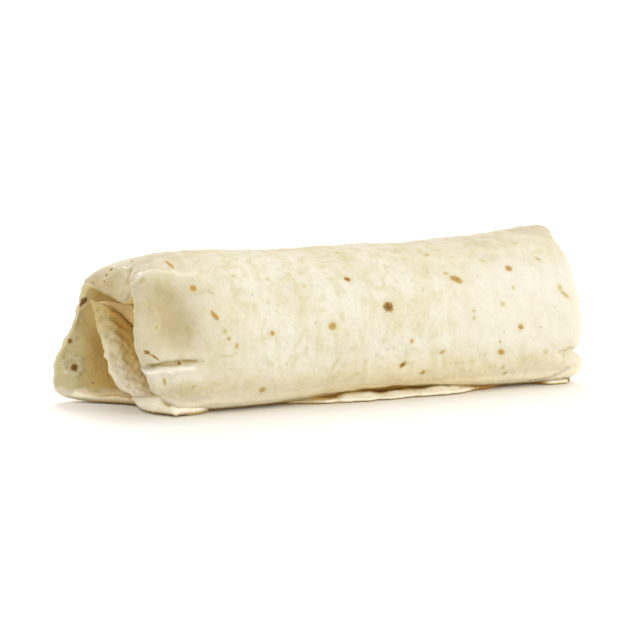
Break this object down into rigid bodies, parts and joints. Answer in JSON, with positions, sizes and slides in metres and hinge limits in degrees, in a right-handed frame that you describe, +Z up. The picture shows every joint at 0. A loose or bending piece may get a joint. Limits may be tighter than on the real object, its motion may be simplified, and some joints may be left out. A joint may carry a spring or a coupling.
{
  "type": "rolled tortilla wrap",
  "caption": "Rolled flour tortilla wrap lying on its seam, folded shut at its right end and open at its left end, where the tucked inner folds show.",
  "frame": {"origin": "middle of the wrap's box, on the surface that it lies on", "axes": "+X along the roll towards its closed end, -Y out of its front, +Z up"},
  "size_m": [0.2022, 0.0625, 0.0601],
  "materials": {
    "dough": "matte"
  },
  "bodies": {
    "root": {"tortilla": "dough"}
  },
  "joints": []
}
